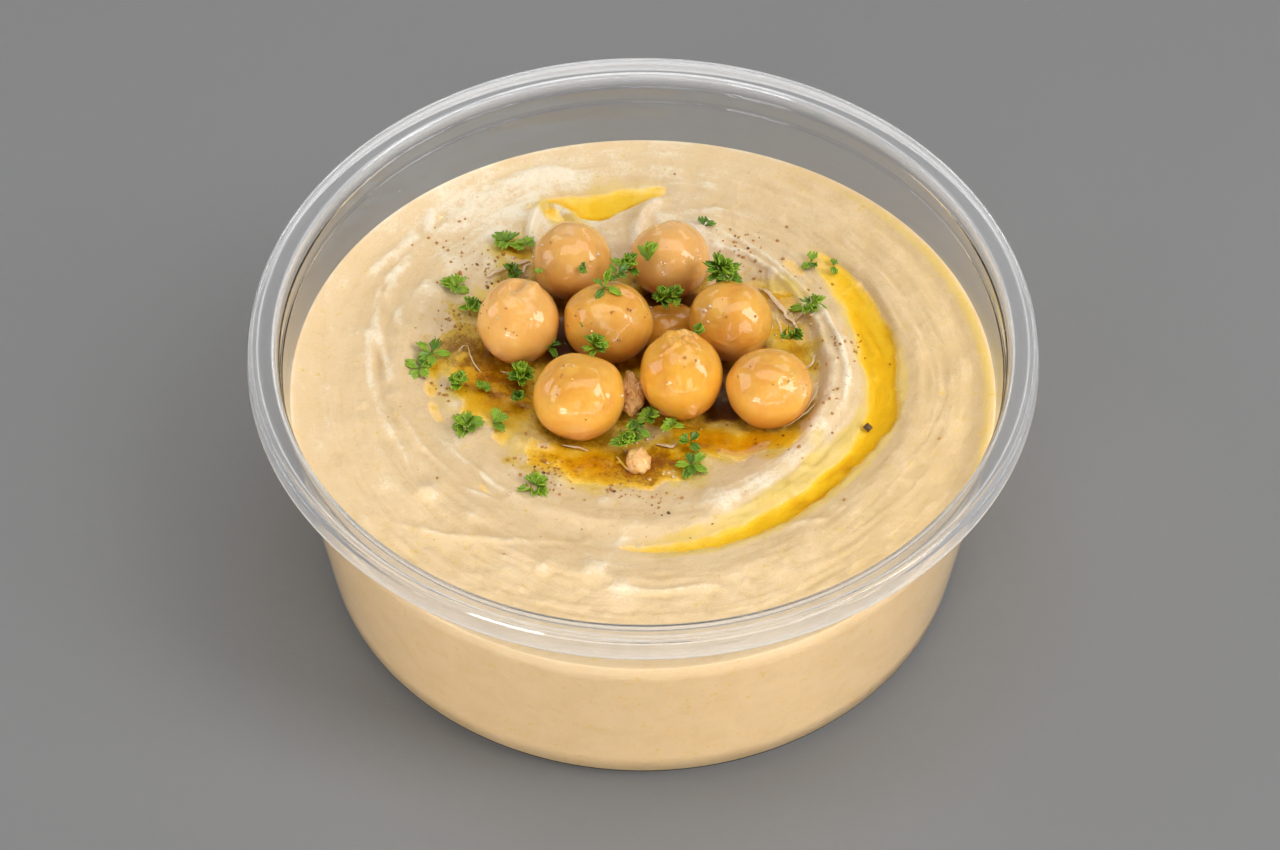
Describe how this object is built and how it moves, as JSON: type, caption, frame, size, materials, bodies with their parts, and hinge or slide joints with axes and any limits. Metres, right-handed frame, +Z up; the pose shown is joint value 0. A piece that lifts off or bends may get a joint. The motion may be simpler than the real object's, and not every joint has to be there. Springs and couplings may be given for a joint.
{
  "type": "tub of hummus with chickpeas",
  "caption": "Swirled hummus filling a clear round tub, topped with whole chickpeas and pieces of chickpea.",
  "frame": {"origin": "middle of the tub's base, on the surface it stands on", "axes": "+Z up through the tub's axis, -Y towards the tub's front, +X to its right"},
  "size_m": [0.117, 0.117, 0.0444],
  "materials": {
    "clear_plastic": "clear, thin moulded plastic, glossy",
    "hummus": "smooth moist paste, satin",
    "chickpea": "cooked chickpea, wet with oil",
    "oil": "olive oil, clear golden yellow",
    "herb": "fresh chopped parsley",
    "spice": "ground paprika, dry specks",
    "pepper": "ground black pepper, dry specks",
    "skin": "thin translucent chickpea skin, wet"
  },
  "bodies": {
    "root": {"tub": "clear_plastic", "hummus": "hummus", "chickpea_back_left": "chickpea", "chickpea_back_right": "chickpea", "chickpea_left": "chickpea", "chickpea_centre": "chickpea", "chickpea_right": "chickpea", "chickpea_front_left": "chickpea", "chickpea_front_middle": "chickpea", "chickpea_front_right": "chickpea", "chickpea_sunk": "chickpea", "chickpea_piece_middle": "chickpea", "chickpea_piece_front": "chickpea"}
  },
  "joints": []
}
